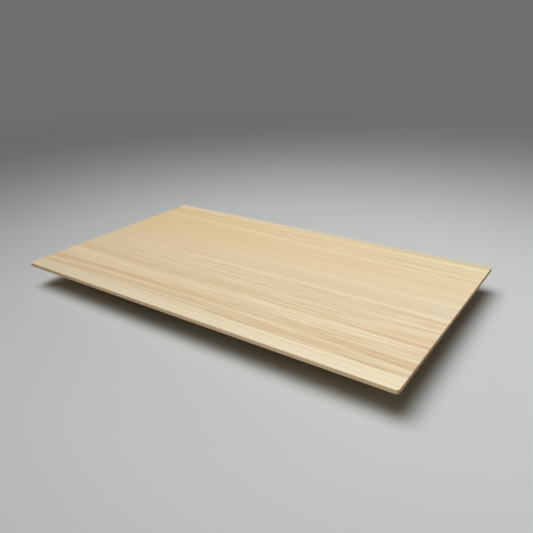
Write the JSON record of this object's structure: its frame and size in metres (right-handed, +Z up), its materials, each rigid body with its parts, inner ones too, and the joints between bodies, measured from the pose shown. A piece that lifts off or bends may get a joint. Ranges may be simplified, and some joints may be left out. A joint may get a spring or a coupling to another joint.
{
  "type": "sushi geta board",
  "caption": "Flat rectangular serving board of pale wood, glued up from staves and bevelled thin at its rim, raised low on cross feet held by sliding dovetails.",
  "frame": {"origin": "centre of the board in plan, on the surface the feet stand on", "axes": "+X along the grain, the board's long way, towards the right foot; +Y across the grain towards the back edge; +Z up, out of the serving face"},
  "size_m": [0.3, 0.176, 0.0195],
  "materials": {
    "stave_wood": "planed, bare, satin",
    "foot_wood": "planed, bare, satin"
  },
  "bodies": {
    "root": {"front_strip": "stave_wood", "front_stave": "stave_wood", "back_stave": "stave_wood", "back_strip": "stave_wood", "left_foot": "foot_wood", "right_foot": "foot_wood"}
  },
  "joints": []
}
